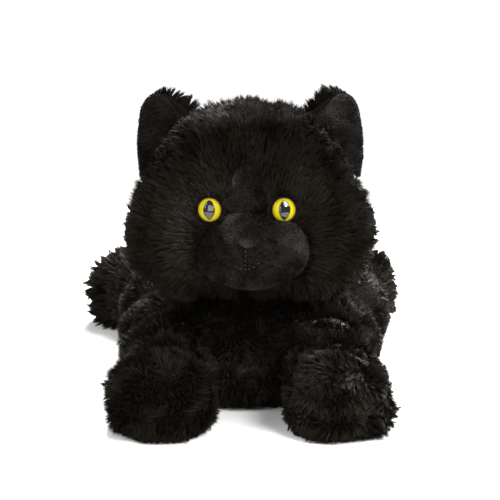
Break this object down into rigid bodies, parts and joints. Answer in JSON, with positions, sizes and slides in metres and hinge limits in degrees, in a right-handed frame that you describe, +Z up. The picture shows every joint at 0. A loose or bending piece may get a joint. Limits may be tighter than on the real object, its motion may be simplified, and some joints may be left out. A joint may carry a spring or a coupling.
{
  "type": "plush cat",
  "caption": "Soft black plush cat lying flat with its head up, stuffed legs and tail, lined ears and domed yellow slit-pupil eyes, for cuddling and display",
  "frame": {"origin": "on the floor plane under the middle of the belly, on the flat underside of the torso", "axes": "+Z up, -Y the way the cat faces, +X the cat's own left"},
  "size_m": [0.254, 0.465, 0.2069],
  "materials": {
    "black_plush": "long dense black plush pile, brushed, slightly curled on the body",
    "black_velour": "short smooth black velour",
    "polyester_filling": "loose white polyester fibre filling",
    "black_thread": "black sewing thread",
    "clear_plastic": "clear moulded plastic, polished dome",
    "iris_paint": "bright yellow paint behind the clear dome",
    "black_plastic": "black moulded plastic with a ribbed post",
    "white_plastic": "white moulded lock washer"
  },
  "bodies": {
    "torso": {"torso_skin": "black_plush", "torso_filling": "polyester_filling", "closing_seam_thread": "black_thread"},
    "neck": {"neck_skin": "black_plush", "neck_filling": "polyester_filling"},
    "head": {"head_skin": "black_plush", "face_panel": "black_velour", "head_filling": "polyester_filling", "nose": "black_velour", "mouth_stitches": "black_thread", "left_eye_dome": "clear_plastic", "left_eye_iris": "iris_paint", "left_eye_post": "black_plastic", "left_eye_washer": "white_plastic", "right_eye_dome": "clear_plastic", "right_eye_iris": "iris_paint", "right_eye_post": "black_plastic", "right_eye_washer": "white_plastic"},
    "left_ear": {"left_ear_back": "black_plush", "left_ear_lining": "black_velour"},
    "right_ear": {"right_ear_back": "black_plush", "right_ear_lining": "black_velour"},
    "left_foreleg": {"left_foreleg_skin": "black_plush", "left_foreleg_filling": "polyester_filling"},
    "right_foreleg": {"right_foreleg_skin": "black_plush", "right_foreleg_filling": "polyester_filling"},
    "left_hindleg": {"left_hindleg_skin": "black_plush", "left_hindleg_filling": "polyester_filling"},
    "right_hindleg": {"right_hindleg_skin": "black_plush", "right_hindleg_filling": "polyester_filling"},
    "tail_base": {"tail_base_skin": "black_plush", "tail_base_filling": "polyester_filling"},
    "tail_tip": {"tail_tip_skin": "black_plush", "tail_tip_filling": "polyester_filling"}
  },
  "joints": [
    {"name": "head_nod", "type": "hinge", "parent": "torso", "child": "neck", "pos_m": [0, -0.042, 0.086], "axis": [-1, 0, 0], "range_deg": [-4, 14]},
    {"name": "head_turn", "type": "hinge", "parent": "neck", "child": "head", "pos_m": [0, -0.042, 0.086], "axis": [0, 0, 1], "range_deg": [-18, 18]},
    {"name": "left_ear_fold", "type": "hinge", "parent": "head", "child": "left_ear", "pos_m": [0.056, -0.066, 0.165], "axis": [-0.727, 0, 0.6866], "range_deg": [-12, 20], "stiffness_Nm_per_rad": 0.02},
    {"name": "right_ear_fold", "type": "hinge", "parent": "head", "child": "right_ear", "pos_m": [-0.056, -0.066, 0.165], "axis": [-0.727, 0, -0.6866], "range_deg": [-12, 20], "stiffness_Nm_per_rad": 0.02},
    {"name": "left_foreleg_splay", "type": "hinge", "parent": "torso", "child": "left_foreleg", "pos_m": [0.05, -0.098, 0.026], "axis": [0, 0, 1], "range_deg": [-8, 20]},
    {"name": "right_foreleg_splay", "type": "hinge", "parent": "torso", "child": "right_foreleg", "pos_m": [-0.05, -0.098, 0.026], "axis": [0, 0, -1], "range_deg": [-8, 20]},
    {"name": "left_hindleg_splay", "type": "hinge", "parent": "torso", "child": "left_hindleg", "pos_m": [0.062, 0.092, 0.029], "axis": [0, 0, -1], "range_deg": [-12, 12]},
    {"name": "right_hindleg_splay", "type": "hinge", "parent": "torso", "child": "right_hindleg", "pos_m": [-0.064, 0.092, 0.029], "axis": [0, 0, 1], "range_deg": [-12, 12]},
    {"name": "tail_swing", "type": "hinge", "parent": "torso", "child": "tail_base", "pos_m": [0, 0.138, 0.016], "axis": [0, 0, 1], "range_deg": [-20, 20]},
    {"name": "tail_tip_curl", "type": "hinge", "parent": "tail_base", "child": "tail_tip", "pos_m": [-0.00946, 0.20534, 0.016], "axis": [0, 0, 1], "range_deg": [-20, 20]}
  ]
}
